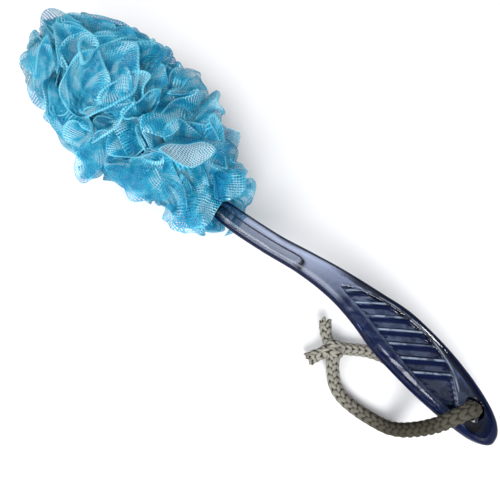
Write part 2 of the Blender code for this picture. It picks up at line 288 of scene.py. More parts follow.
def clear_blue_material():
    """Clear tinted plastic: pale along the neck, deep in the grip, near black where it is seen edge on, with
    painted shade lines and patches and painted highlights on the rib crests.
    """
    material, tree, shader = new_material("clear_blue_plastic")
    place, split = coordinates(tree, "Object")
    along = split[0]
    neck, grip, tail, painted_shade_navy = ((0.52, 0.56, 0.64, 1), (0.145, 0.190, 0.280, 1), (0.012, 0.019, 0.040, 1),
                               (0.012, 0.028, 0.10, 1))
    body = mix_colour(tree, ramp(tree, along, 0.050, 0.110), neck, grip)
    body = mix_colour(tree, ramp(tree, along, 0.160, 0.178), body, tail)
    # Painted shade in navy patches over the grip and tail.
    patch_noise = noise(tree, place, 150.0, 3.0)
    shade_patches = ramp(tree, patch_noise, 0.50, 0.60, 0.0, 0.75)
    shade_patches = math_node(tree, "MULTIPLY", shade_patches, ramp(tree, along, 0.07, 0.10))
    body = mix_colour(tree, shade_patches, body, painted_shade_navy)
    flow = ramp(tree, along, 0.060, 0.100, 0.3, 1.0)
    flow = math_node(tree, "MULTIPLY", noise(tree, place, 190.0, 2.0), flow)
    waves = bump(tree, flow, 0.2, 0.0007)
    put_all(tree, shader, Base_Color=body, Roughness=0.03, IOR=1.49, Transmission_Weight=1.0, Normal=waves)
    dark = add(tree, "ShaderNodeBsdfPrincipled", Base_Color=(0.003, 0.006, 0.028, 1), Roughness=0.06,
               IOR=1.30, Specular_IOR_Level=0.03, Normal=waves)
    # Pale shader for the painted highlights on the rib crests and round the leaf's rim.
    highlight_paint = add(tree, "ShaderNodeBsdfPrincipled", Base_Color=(0.20, 0.25, 0.33, 1), Roughness=0.3,
                  IOR=1.49, Normal=waves)
    facing = add(tree, "ShaderNodeLayerWeight", Blend=0.35).outputs["Facing"]
    # Near black where the plastic is seen edge on, and painted shade wherever the shade attribute says.
    lined = math_node(tree, "MAXIMUM", ramp(tree, facing, 0.20, 0.36, 0.0, 0.97), attribute(tree, "shade"))
    # Share of painted highlight: where the crest attribute says, broken up by noise.
    painted_light = ramp(tree, patch_noise, 0.38, 0.60, 0.10, 0.9)
    painted_light = math_node(tree, "MULTIPLY", attribute(tree, "crest"), painted_light)
    surface = mix_shader(tree, lined, shader.outputs[0], dark.outputs[0])
    put_out(tree, mix_shader(tree, painted_light, surface, highlight_paint.outputs[0]))
    depth = add(tree, "ShaderNodeVolumeAbsorption", Color=(0.26, 0.36, 0.70, 1), Density=45)
    put(tree, tree.nodes["Material Output"], "Volume", depth.outputs[0])
    return material


def rope_material():
    """Plaited cord of fine fibres: pale on the crowns of its stitches, with painted shade between them and
    painted shade that deepens towards +X.
    """
    material, tree, shader = new_material("rope_braid")
    place, split = coordinates(tree, "Object")
    # The cord's own colour; a dark colour of painted shade that takes over towards +X; a darker tone between
    # fibres; and painted shade deep between the stitches.
    clean, painted_light, shadow, gap = ((0.33, 0.32, 0.275, 1), (0.022, 0.020, 0.011, 1), (0.070, 0.066, 0.052, 1),
                                (0.022, 0.020, 0.015, 1))
    fibre = noise(tree, place, 2600.0, 2.0)
    # Painted shade that deepens towards +X, with random blotches added.
    shade_and_grime = ramp(tree, split[0], 0.095, 0.150, -0.15, 0.75)
    shade_and_grime = math_node(tree, "MULTIPLY_ADD", noise(tree, place, 45.0, 3.0), 0.4, shade_and_grime)
    pale = mix_colour(tree, shade_and_grime, clean, painted_light)
    pale = mix_colour(tree, ramp(tree, fibre, 0.30, 0.75, 0.0, 0.6), pale, shadow)
    # Painted shade between the stitches, the cord's own colour on their crowns.
    crown = ramp(tree, attribute(tree, "stitch"), 0.05, 0.85)
    put_all(tree, shader, Base_Color=mix_colour(tree, crown, gap, pale), Roughness=0.82,
            Specular_IOR_Level=0.1, Normal=bump(tree, fibre, 0.5, 0.0003))
    return material


def tie_material():
    """Thin twisted cord, paler than the netting that it draws in."""
    material, tree, shader = new_material("tie_cord")
    place, _ = coordinates(tree, "Object")
    wave = add(tree, "ShaderNodeTexWave", Vector=place, Scale=420.0, Distortion=1.5, Detail=1.0)
    twist = wave.outputs[1]
    colour = mix_colour(tree, ramp(tree, twist, 0.2, 0.8), (0.20, 0.42, 0.56, 1), (0.62, 0.74, 0.80, 1))
    put_all(tree, shader, Base_Color=colour, Roughness=0.6, Normal=bump(tree, twist, 0.6, 0.0003))
    return material


def net_thread(tree, uv, split):
    """Two slanting sets of threads, the second one finer; 1 along the middle of a thread."""
    drift = noise(tree, uv, 60.0, 2.0)
    lines = []
    for slant, thinness in ((0.75, 5.0), (-0.75, 14.0)):
        across = math_node(tree, "MULTIPLY_ADD", split[1], slant, split[0])
        across = math_node(tree, "MULTIPLY_ADD", drift, 0.0055, across)
        wave = math_node(tree, "SINE", math_node(tree, "MULTIPLY", across, math.pi / NET_PITCH))
        lines.append(math_node(tree, "POWER", math_node(tree, "ABSOLUTE", wave), thinness))
    return math_node(tree, "MAXIMUM", *lines)


def netting_material():
    """Knitted nylon net: shiny threads cross in small diamonds, and light passes through and between them."""
    material, tree, shader = new_material("netting")
    uv, split = coordinates(tree, "UV")
    _, place = coordinates(tree, "Object")
    thread = net_thread(tree, uv, split)
    # The fold rims: the doubled net there is denser, and it is also painted paler as a highlight.
    rim = attribute(tree, "rim")
    # Random patches: a lighter body tone there, and there the painted highlights on the threads are
    # strongest.
    sheen_patches = noise(tree, uv, 75.0, 3.0)
    sheen_share = ramp(tree, sheen_patches, 0.40, 0.56, 0.15, 1.0)
    # Painted highlights along the thread cores, and brighter painted glints on them.
    shine = math_node(tree, "MULTIPLY", ramp(tree, thread, 0.45, 1.0), sheen_share)
    glint = math_node(tree, "MULTIPLY", ramp(tree, thread, 0.70, 1.0), ramp(tree, sheen_patches, 0.50, 0.60))
    # Painted light inside the open fold, on its threads.
    inside = math_node(tree, "MULTIPLY", attribute(tree, "pale"), ramp(tree, thread, 0.2, 0.8))
    # Painted shade, greyer and darker towards the head's far end.
    far_end = ramp(tree, place[0], -0.185, -0.12, 0.55, 0.0)
    body = mix_colour(tree, ramp(tree, sheen_patches, 0.35, 0.65), (0.001, 0.20, 0.42, 1), (0.002, 0.43, 0.66, 1))
    # Over the body in turn: painted thread highlights, painted glints, paler fold rims, painted light in the
    # open fold, painted shade at the far end.
    for share, colour in ((shine, (0.08, 0.68, 0.86, 1)), (glint, (0.70, 0.95, 1.0, 1)),
                          (math_node(tree, "MULTIPLY", rim, 0.55), (0.26, 0.80, 0.92, 1)),
                          (inside, (0.70, 0.93, 0.97, 1)), (far_end, (0.06, 0.20, 0.26, 1))):
        body = mix_colour(tree, share, body, colour)
    solid = math_node(tree, "MULTIPLY_ADD", attribute(tree, "sheer"), -0.45, 0.97)
    alpha = ramp(tree, thread, 0.25, 0.65, 0.06, solid)
    alpha = math_node(tree, "MAXIMUM", alpha, math_node(tree, "MULTIPLY", rim, 0.7))
    put_all(tree, shader, Base_Color=body, Alpha=alpha, Roughness=0.24, Specular_IOR_Level=0.4,
            Normal=bump(tree, thread, 0.8, 0.0004))
    clear = add(tree, "ShaderNodeBsdfTransparent")
    through = add(tree, "ShaderNodeBsdfTranslucent", Color=(0.005, 0.52, 0.80, 1))
    light = mix_shader(tree, alpha, clear.outputs[0], through.outputs[0])
    put_out(tree, mix_shader(tree, 0.30, shader.outputs[0], light))
    return material


# ---------------------------------------------------------------- handle
SECTION_POINTS = 240
SECTION_SAMPLES = 4001
FINE_STEP = 0.0004
COARSE_STEP = 0.0014
NOSE_LENGTH = 0.030
NOSE_DEPTH = 0.012
GRIP_END = 0.106
NECK_END = 0.2
# Where the neck's squarish section turns round, as the stem starts.
ROUNDING = (0.187, 0.198)
HOLE_DISTANCE = 0.017
HOLE_RADIUS = 0.00575
# The leaf's outline: distance from the tail's tip, and place across towards -Y.
LEAF_OUTLINE = [(0.101, 0.002), (0.080, -0.0068), (0.060, -0.0092), (0.040, -0.0055), (0.0275, 0.0035),
                (0.0245, 0.0085), (0.044, 0.0108), (0.066, 0.0090), (0.085, 0.0058)]
LEAF_DEPTH = 0.0019
RIB_COUNT = 7
RIB_PITCH = 0.0092
RIB_FIRST = 0.0405
RIB_ANGLE = math.radians(44)
CHANNEL_START = 0.133
CHANNEL_END = 0.191
CHANNEL_DEPTH = 0.0026
CHANNEL_HALF_WIDTH = 0.0022
# Below 1, this draws the channel's round end out towards the grip.
CHANNEL_END_SHAPE = 0.35


def spine(distance):
    """Centre line points, and the unit vector square to it and to SIDE, at distances from the tail."""
    step = 0.0005
    height = smooth(SPINE_HEIGHT, distance)
    rise = smooth(SPINE_HEIGHT, distance + step) - smooth(SPINE_HEIGHT, distance - step)
    centre = np.stack([TAIL_X - distance, np.full_like(distance, SPINE_Y), height], -1)
    along = np.stack([np.full_like(distance, -2 * step), np.zeros_like(distance), rise], -1)
    along /= np.linalg.norm(along, axis=1)[:, None]
    return centre, np.cross(SIDE, along)


def nose(distance, length):
    """Share of the full size near a rounded end: a quarter ellipse of that length."""
    share = np.clip(1 - distance / length, 0, 1)
    return np.sqrt(np.clip(1 - share**2, 1e-6, 1))


def section(half_width, half_thickness, squareness):
    """Evenly spaced points round a superellipse: an ellipse at squareness 2, and squarer above that."""
    angle = np.linspace(0, 2 * math.pi, SECTION_SAMPLES)
    c, s = np.cos(angle), np.sin(angle)
    x = np.sign(c) * np.abs(c) ** (2 / squareness) * half_width
    y = np.sign(s) * np.abs(s) ** (2 / squareness) * half_thickness
    length = run_along(np.stack([x, y], -1))
    even = np.linspace(0, length[-1], SECTION_POINTS, endpoint=False)
    return np.interp(even, length, x), np.interp(even, length, y)


def depth_inside(outline, points):
    """Distance from each point to a closed outline, positive inside it."""
    start, end = outline, np.roll(outline, -1, 0)
    best = np.full(len(points), np.inf)
    inside = np.zeros(len(points), bool)
    for a, b, edge in zip(start, end, end - start):
        t = np.clip(((points - a) @ edge) / (edge @ edge), 0, 1)
        best = np.minimum(best, np.linalg.norm(points - a - t[:, None] * edge, axis=1))
        crosses = (a[1] > points[:, 1]) != (b[1] > points[:, 1])
        rise = edge[1] if abs(edge[1]) > 1e-12 else 1e-12
        inside ^= crosses & (points[:, 0] < a[0] + (points[:, 1] - a[1]) * edge[0] / rise)
    return np.where(inside, best, -best)


def flank_marks(distance, across, depth, phase):
    """Broken marks of painted shade down the grip's -Y side, where the ribs show again through the plastic.
    """
    wander = phase + 0.16 * np.sin(1100 * across + 2.3 * phase) + 0.1 * np.sin(700 * distance)
    marks = 0.65 + 0.35 * step_up(np.sin(2 * math.pi * wander + 1.0), -0.2, 0.7)
    beside_leaf = step_up(-depth, 0.0004, 0.0020) * step_up(-across, 0.002, 0.007)
    return marks * beside_leaf * step_up(distance, 0.030, 0.038) * step_down(distance, 0.094, 0.104)


def grip_relief(distance, across):
    """How far the leaf is sunk, with its slanting ribs left standing; its lines of painted shade; its painted
    highlights on the rib crests and round the leaf's rim.
    """
    outline = smooth_closed(LEAF_OUTLINE, 10)
    depth = depth_inside(outline, np.stack([distance, -across], -1))
    recess = step_up(depth, 0.0, 0.0006)
    phase = (distance - RIB_FIRST + across / math.tan(RIB_ANGLE)) / RIB_PITCH
    nearest = np.clip(np.round(phase), 0, RIB_COUNT - 1)
    off = (nearest - phase) * RIB_PITCH * math.sin(RIB_ANGLE)
    rib = step_down(np.abs(off), 0.0004, 0.0010)
    # Painted highlights: along each rib's crest, and in a ring just outside the leaf.
    crest = recess * step_down(np.abs(off), 0.0003, 0.0006)
    outer_ring = stripe(depth + 0.0011, 0.0004) * step_up(across, -0.002, 0.002)
    # Painted shade: a dark band at the foot of each rib, and a wavy dark line just inside the leaf's edge.
    foot = step_up(off, 0.0006, 0.0009) * step_down(off, 0.0022, 0.0032) + stripe(off + 0.0010, 0.0003)
    ends = stripe(depth - 0.0012 - 0.0009 * np.sin(13 * phase + 900 * across), 0.0006)
    shade = np.maximum(recess * np.maximum(0.95 * foot, ends),
                       0.85 * flank_marks(distance, across, depth, phase))
    return LEAF_DEPTH * recess * (1 - 0.9 * rib), np.clip(shade, 0, 1), np.maximum(crest, outer_ring)


def channel_relief(distance, across):
    """How far the neck's underside is sunk by its channel, with a long round end, and its painted shade: dark
    lines along its walls and a faint darkening of its floor.
    """
    past = CHANNEL_END_SHAPE * np.clip(CHANNEL_START - distance, 0, None)
    off = np.hypot(across, past)
    before_head = distance < CHANNEL_END
    inside = step_down(off, 0.0017, 0.0025) * before_head
    line_width = np.where(across > -0.0005, 0.0006, 0.0004)
    wall = stripe(off - CHANNEL_HALF_WIDTH, line_width) * before_head
    return CHANNEL_DEPTH * inside, np.maximum(0.22 * inside, 0.97 * wall)


def ring_surface(at, half_width, half_thickness):
    """One ring of the handle, across and up, with its relief cut in, then its painted shade lines and painted
    highlights on its crests.
    """
    squareness = 3.0 - float(step_up(np.array(at), *ROUNDING))
    x, y = section(half_width, half_thickness, squareness)
    here = np.full_like(x, at)
    facing = y / half_thickness
    crest = np.zeros_like(x)
    # Painted shade: a dark band along the grip's +Y edge.
    shade = 0.9 * step_up(x / half_width, 0.70, 0.78) * step_down(here, 0.095, 0.115)
    if at < GRIP_END:
        relief, lines, crest = grip_relief(here, x)
        y = y - relief * step_up(facing, 0.3, 0.8)
        shade = np.maximum(shade, lines * step_up(facing, 0.0, 0.4))
        crest = crest * step_up(facing, 0.3, 0.6)
    elif at < NECK_END:
        relief, lines = channel_relief(here, x)
        y = y + relief * step_up(-facing, 0.3, 0.8)
        shade = np.maximum(shade, lines * step_up(-facing, 0.3, 0.8))
    # Painted shade round the sides of the tail.
    tail_edge = step_down(np.abs(facing), 0.6, 0.9) * step_down(here, 0.015, 0.045)
    return x, y, np.maximum(shade, tail_edge), crest


def ring_distances():
    """Where the rings lie from tail to stem: close over the nose, the grip and the channel's round end."""
    nose_steps = NOSE_DEPTH * (1 - np.cos(np.linspace(0.03, math.pi / 2, 16)))
    end_from, end_to = 0.1245, 0.1345
    stretches = [(NOSE_DEPTH + FINE_STEP, GRIP_END, FINE_STEP), (GRIP_END, end_from, COARSE_STEP),
                 (end_from, end_to, FINE_STEP), (end_to, NECK_END, COARSE_STEP)]
    return np.concatenate([nose_steps] + [np.arange(*stretch) for stretch in stretches])


def make_handle(material):
    """The moulding in one skin: rings from the tail to the stem's knob, and the hanging hole."""
    distances = ring_distances()
    stem = stem_profile()
    every = np.concatenate([distances, stem[:, 0]])
    width = np.concatenate([smooth(HALF_WIDTH, distances) * nose(distances, NOSE_LENGTH), stem[:, 1]])
    thickness = np.concatenate([smooth(HALF_THICKNESS, distances) * nose(distances, NOSE_DEPTH), stem[:, 1]])
    rings, shades, crests = [], [], []
    for at, middle, upward, half_width, half_thickness in zip(every, *spine(every), width, thickness):
        x, y, shade, crest = ring_surface(at, half_width, half_thickness)
        rings.append(middle + x[:, None] * SIDE + y[:, None] * upward)
        shades.append(shade)
        crests.append(crest)
    body = grid_mesh("handle_moulding", np.array(rings), around=True)
    write_attribute(body, "shade", shades)
    write_attribute(body, "crest", crests)
    close_ends(body.data)
    cut_hang_hole(body)
    body.data.shade_smooth()
    body.data.materials.append(material)
    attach(body, "scrubber")
    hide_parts("handle")


RUFF_START = 0.190
RUFF_COUNT = 6
RUFF_PITCH = (LENGTH - RUFF_START) / RUFF_COUNT
# Half of a collar's outline, as offset along the stem and radius; the other half mirrors it.
COLLAR_HALF = [(0.0022, 0.0050), (0.0014, 0.0054), (0.0010, 0.0072), (0.0007, 0.0079)]
COLLAR_RADIUS = 0.0080
KNOB_RADIUS = 0.0068
KNOB_START = 0.357
KNOB_END = 0.3715


def stem_profile():
    """Distances and radii down the stem, with its collars and its end knob."""
    mirrored = [(-offset, radius) for offset, radius in COLLAR_HALF]
    collar = mirrored + [(0.0, COLLAR_RADIUS)] + COLLAR_HALF[::-1]
    plain = [(RUFF_PITCH / 3, STEM_RADIUS), (RUFF_PITCH * 2 / 3, STEM_RADIUS)]
    middles = [RUFF_START + RUFF_PITCH * i for i in range(1, RUFF_COUNT)]
    rows = [(middle + offset, radius) for middle in middles for offset, radius in collar + plain]
    rows = [row for row in rows if row[0] < KNOB_START]
    for angle in np.linspace(math.asin(STEM_RADIUS / KNOB_RADIUS), math.pi - 0.05, 14):
        rows.append((KNOB_END - KNOB_RADIUS - KNOB_RADIUS * math.cos(angle), KNOB_RADIUS * math.sin(angle)))
    return np.array(sorted(rows))


def cut_hang_hole(body):
    """Cut the hanging hole straight up and down through the tail."""
    reach = 0.03
    bm = bmesh.new()
    bmesh.ops.create_cone(bm, cap_ends=True, segments=64, radius1=HOLE_RADIUS, radius2=HOLE_RADIUS,
                          depth=2 * reach)
    mesh = bpy.data.meshes.new("hang_hole")
    bm.to_mesh(mesh)
    bm.free()
    cutter = link("hang_hole", mesh)
    cutter.location = (TAIL_X - HOLE_DISTANCE, SPINE_Y, value_at(SPINE_HEIGHT, HOLE_DISTANCE))
    cut = body.modifiers.new("hole", "BOOLEAN")
    cut.solver = "EXACT"
    cut.object = cutter
    bpy.context.view_layer.update()
    evaluated = body.evaluated_get(bpy.context.evaluated_depsgraph_get())
    result = bpy.data.meshes.new_from_object(evaluated)
    body.modifiers.clear()
    body.data = result
    bpy.data.objects.remove(cutter)


# ---------------------------------------------------------------- rope
ROPE_RADIUS = 0.0036
ROPE_ROUTE = [
    (0.1016, -0.0208, 0.0055), (0.1072, -0.0158, 0.0042), (0.1131, -0.0120, 0.0039),
    (0.1211, -0.0090, 0.0038), (0.1335, -0.0075, 0.0038), (0.1465, -0.0090, 0.0038),
    (0.1565, -0.0110, 0.0040), (0.1640, -0.0117, 0.0068), (0.1685, -0.0120, 0.0120),
    (0.1695, -0.0120, 0.0190), (0.1693, -0.0124, 0.0265), (0.1680, -0.0154, 0.0325),
    (0.1657, -0.0205, 0.0347), (0.1633, -0.0257, 0.0325), (0.1605, -0.0300, 0.0268),
    (0.1570, -0.0333, 0.0200), (0.1530, -0.0362, 0.0140), (0.1485, -0.0386, 0.0085),
    (0.1425, -0.0406, 0.0050), (0.1315, -0.0426, 0.0038), (0.1225, -0.0434, 0.0038),
    (0.1155, -0.0428, 0.0038), (0.1100, -0.0404, 0.0039), (0.1059, -0.0367, 0.0043),
    (0.1027, -0.0332, 0.0052),
]
ROPE_EXIT = 9
KNOT = (0.0965, -0.0270, 0.0070)
KNOT_AXIS = (-0.62, 0.74, 0.25)
TAIL_ROUTES = {
    "rope_tail_upper": [(0.0901, -0.0228, 0.0076), (0.0873, -0.0202, 0.0078), (0.0845, -0.0172, 0.0076)],
    "rope_tail_lower": [(0.0933, -0.0332, 0.0062), (0.0920, -0.0356, 0.0058), (0.0909, -0.0378, 0.0054)],
}
STRAND_COUNT = 9


def frames(path):
    """Two unit vectors square to a path at each point, carried along it without twist."""
    tangent = np.gradient(path, axis=0)
    tangent /= np.linalg.norm(tangent, axis=1)[:, None]
    first = np.zeros_like(path)
    guess = np.array([0, 0, 1.0]) if abs(tangent[0][2]) < 0.9 else np.array([1.0, 0, 0])
    for i, direction in enumerate(tangent):
        guess = unit(guess - direction * (guess @ direction))
        first[i] = guess
    return first, np.cross(tangent, first)


def braid_height(along, turn, radius):
    """Height of plaited stitches over a cord: staggered ovals that lean left and right in turn."""
    columns, stitch, lean_angle = 8, 0.0040, math.radians(33)
    width = 2 * math.pi * radius / columns
    half_long, half_wide = 0.66 * stitch, 0.50 * width
    height = np.zeros(np.broadcast(along, turn).shape)
    across = turn / (2 * math.pi) * columns
    for shift in (-1, 0, 1):
        column = np.floor(across) + shift
        lean = np.where(column % 2 == 0, 1.0, -1.0)
        offset = (across - column - 0.5) * width
        stagger = 0.5 * (column % 4 // 2)
        for row_shift in (-1, 0, 1):
            start = (np.floor(along / stitch - stagger) + row_shift + stagger) * stitch
            run = along - start - stitch / 2
            a = run * math.cos(lean_angle) + lean * offset * math.sin(lean_angle)
            b = -lean * run * math.sin(lean_angle) + offset * math.cos(lean_angle)
            oval = 1 - (a / half_long) ** 2 - (b / half_wide) ** 2
            height = np.maximum(height, np.sqrt(np.clip(oval, 0, 1)))
    return height


def braided_tube(name, path, radius, material, around=64, swelling=None):
    """Plaited cord along a path; swelling scales its radius at each point of the path."""
    first, second = frames(path)
    turn = np.linspace(0, 2 * math.pi, around, endpoint=False)
    height = braid_height(run_along(path)[:, None], turn[None, :], radius)
    swell = radius * (0.76 + 0.28 * height)
    if swelling is not None:
        swell = swell * swelling[:, None]
    outward = (np.cos(turn)[None, :, None] * first[:, None] + np.sin(turn)[None, :, None] * second[:, None])
    tube = grid_mesh(name, path[:, None] + swell[..., None] * outward, around=True)
    write_attribute(tube, "stitch", height)
    close_ends(tube.data)
    tube.data.materials.append(material)
    return tube


def make_tail(name, route, rng, material):
    """Short end of the rope: it swells where the plait opens, and its strands fan out past the cut."""
    path, _ = smooth_open(route, 0.0004)
    share = np.linspace(0, 1, len(path))
    swelling = (0.9 + 0.22 * share) * nose(1.001 - share, 0.10)
    pieces = [braided_tube(name, path, 0.0033, material, swelling=swelling)]
    first, second = frames(path)
    tangent = unit(path[-1] - path[-3])
    for k in range(STRAND_COUNT):
        turn = 2 * math.pi * k / STRAND_COUNT + rng.uniform(-0.25, 0.25)
        out = first[-1] * math.cos(turn) + second[-1] * math.sin(turn)
        spread, reach = rng.uniform(0.35, 0.8), rng.uniform(0.0022, 0.0040)
        base = path[-5] + out * 0.0021
        middle = base + (tangent + out * spread * 0.4) * reach * 0.6
        tip = middle + (tangent + out * spread * 1.3) * reach * 0.6
        strand, _ = smooth_open([base, middle, tip], 0.0003)
        along = np.linspace(0, 1, len(strand))
        pieces.append(braided_tube("strand", strand, 0.00125, material, 20, 1.12 - 0.75 * along**2))
    tail = join(name, pieces)
    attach(tail, "rope_loop")
    return tail


def make_knot(material):
    """Overhand knot: the rope's last stretch wound once and a half round the start of its own ends."""
    axis = unit(np.array(KNOT_AXIS))
    side = unit(np.cross(axis, [0, 0, 1.0]))
    top = np.cross(side, axis)
    turns = np.linspace(-0.35 * math.pi, 2.75 * math.pi, 60)
    rise = np.linspace(-0.0031, 0.0031, len(turns))
    route = (np.array(KNOT) + np.cos(turns)[:, None] * side * 0.0036 + np.sin(turns)[:, None] * top * 0.0032
             + rise[:, None] * axis)
    path, _ = smooth_open(route, 0.0003)
    share = np.linspace(0, 1, len(path))
    taper = np.sqrt(np.clip(np.minimum(share, 1 - share) * 14, 0.02, 1))
    knot = braided_tube("rope_knot_wrap", path, 0.0030, material, 48, taper)
    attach(knot, "rope_loop")
    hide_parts("rope_knot")
    return knot


def make_rope(material):
    """The loop, from its exit at the hole round to the knot and back up through the hole."""
    up_and_round = ROPE_ROUTE[ROPE_EXIT:] + [(0.1000, -0.0292, 0.0066), KNOT]
    back = [KNOT, (0.0987, -0.0237, 0.0066)] + ROPE_ROUTE[:ROPE_EXIT + 1]
    path, length = smooth_open(up_and_round + back[1:], 0.0004)
    rope = braided_tube("braided_rope", path, ROPE_RADIUS, material)
    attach(rope, "rope_loop")
    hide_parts("rope_loop")
    knot = make_knot(material)
    rng = np.random.default_rng(3)
    for node, route in TAIL_ROUTES.items():
        tail = make_tail(node.replace("rope_tail", "rope_end"), [KNOT] + route, rng, material)
        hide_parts(node)


# ---------------------------------------------------------------- netting
# Curves of the head, keyed like the handle's: its radius, and how far it hangs over towards +Y.
HEAD_START = 0.180
HEAD_END = 0.374
NETTING_END = 0.367
HEAD_RADIUS = [
    (HEAD_START, 0.0115), (0.187, 0.0140), (0.195, 0.0180), (0.205, 0.0255), (0.220, 0.0350),
    (0.24, 0.0420), (0.26, 0.0430), (0.285, 0.0455), (0.305, 0.0440), (0.322, 0.0420), (0.34, 0.0345),
    (0.355, 0.0265), (0.366, 0.0160), (HEAD_END, 0.0080),
]
HEAD_SIDESHIFT = [
    (HEAD_START, 0.003), (0.205, 0.006), (0.235, 0.0115), (0.27, 0.012), (0.34, 0.012), (HEAD_END, 0.010),
]
# Where the head's outline swells or sinks: distance, angle in degrees from the top towards +Y, the half
# widths of both, and height.
BULGES = [
    (0.278, 250, 0.010, 13, 0.010), (0.235, 255, 0.022, 40, -0.006), (0.282, 291, 0.009, 15, -0.013),
    (0.187, 42, 0.010, 32, 0.004), (0.235, 40, 0.016, 28, 0.006), (0.272, 22, 0.010, 18, 0.006),
]
# Each ruff's lengths of net: place along the ruff, in ruffs, and share of the head's radius.
SHEETS = [(-0.34, 1.0), (-0.10, 0.80), (0.12, 1.0), (0.34, 0.80)]
FIRST_SHEETS = [(-0.56, 1.3), (-0.30, 1.1), (-0.05, 0.80), (0.16, 1.0), (0.36, 0.80)]
LAST_SHEETS = [(-0.34, 1.0), (-0.14, 0.80), (0.05, 0.95), (0.20, 0.85)]
GATHER_RADIUS = 0.0085
FOLD_RADIUS = 0.0008
LOBE_WIDTH = 0.033
RIM_SWING = 0.0125
OUT_STEPS = 26
FOLD_STEPS = 5
STEPS_PER_LOOP = 72
# Large loose lobes: ruff, middle, way out, way it faces, half width and half length, dome, sheerness,
# seed.
PETALS = [
    (6, (-0.1527, -0.0222, 0.0622), (-0.8, -0.6, -0.1), (0.3, -0.35, 0.85), (0.0215, 0.0175), 0.009, 0.4, 11),
    (6, (-0.1574, -0.0027, 0.0793), (-0.75, 0.3, 0.6), (0.3, -0.45, 0.8), (0.0125, 0.0125), 0.005, 0.5, 12),
    (6, (-0.1865, -0.0120, 0.0540), (0.0, -0.8, -0.6), (-1.0, -0.05, 0.1), (0.0105, 0.0110), 0.007, 0.2, 19),
    (6, (-0.1820, 0.0050, 0.0610), (0.0, 0.7, 0.7), (-0.9, 0.3, 0.3), (0.0120, 0.0120), 0.007, 0.3, 20),
    (6, (-0.1835, -0.0200, 0.0460), (0.0, -0.5, -0.85), (-0.85, -0.4, -0.2), (0.014, 0.013), 0.006, 0.3, 21),
    (4, (-0.0655, -0.0205, 0.0655), (-0.3, -0.6, 0.2), (0.35, -0.4, 0.84), (0.0130, 0.0110), 0.003, 0.2, 13),
    (4, (-0.0865, -0.0439, 0.0435), (0.2, -0.75, -0.6), (0.36, -0.5, 0.75), (0.0105, 0.0180), 0.003, 0.6, 14),
    (2, (-0.0440, -0.0343, 0.0505), (0.3, -0.6, -0.5), (0.2, -0.7, 0.65), (0.0160, 0.0150), 0.006, 0.4, 17),
    (1, (-0.0132, -0.0314, 0.0384), (0.37, -0.69, -0.49), (0.25, -0.6, 0.75), (0.015, 0.0085), 0.004, 0.5,
     18),
    (1, (-0.0084, -0.0244, 0.0485), (0.9, -0.1, -0.3), (0.25, -0.4, 0.84), (0.0150, 0.0140), 0.006, 0.6, 15),
    (1, (0.0003, -0.0083, 0.0554), (0.87, 0.23, -0.27), (0.25, -0.3, 0.88), (0.0090, 0.0100), 0.004, 0.6, 16),
]
PETAL_OUT_STEPS = 22
PETAL_TURN_STEPS = 144
LOOSE_LOBES = 4
# The room that the netting keeps to, and the depth over which it crowds up at that room's sides.
NET_SIDES = (-0.0560, 0.0500)
NET_BOTTOM = 0.0005
PETAL_TOP = 0.0980
NO_LIMIT = 1.0
CROWDING = 0.004


def noise_wave(rng, count, lowest, highest):
    """Smooth periodic function of an angle, of size about 1."""
    turns = rng.integers(lowest, highest + 1, count)
    phases = rng.uniform(0, 2 * math.pi, count)
    sizes = rng.uniform(0.5, 1, count)
    sizes /= math.sqrt((sizes**2).sum() / 2)
    return lambda angle: sum(a * np.sin(n * angle + p) for n, p, a in zip(turns, phases, sizes))


def folded(out):
    """A folded sheet's points, out along one layer and back along the other: share of the way out, side of
    the fold from 1 to -1, and how far round the fold itself."""
    curl = np.linspace(0, math.pi, FOLD_STEPS + 2)[1:-1]
    ones, zeros = np.ones(len(out)), np.zeros(len(out))
    share = np.concatenate([out, np.ones(FOLD_STEPS), out[::-1]])[None, :]
    layer = np.concatenate([ones, np.cos(curl), -ones])[None, :]
    beyond = np.concatenate([zeros, np.sin(curl), zeros])[None, :]
    return share, layer, beyond


def closed_uv(x, y, shift):
    """Flat texture coordinates for a grid that closes both ways: its first row and column come again."""
    flat = np.stack([x, y], -1) + shift
    flat = np.concatenate([flat, flat[:1]])
    return np.concatenate([flat, flat[:, :1]], 1)


def meander(rng, loops, swing, steps):
    """Rim of a gathered sheet, unrolled: its angle round the stem and its place along it, both in loops."""
    t = np.linspace(0, 2 * math.pi, steps, endpoint=False)
    strength = swing * (1 + 0.16 * noise_wave(rng, 5, 1, loops)(t))
    heading = strength * np.sin(loops * t + 0.55 * noise_wave(rng, 4, 1, 4)(t))
    across, along = np.cumsum(np.cos(heading)), np.cumsum(np.sin(heading))
    scale = 2 * math.pi / across[-1]
    along = (along - along[-1] * t / (2 * math.pi)) * scale
    return across * scale, along - along.mean()


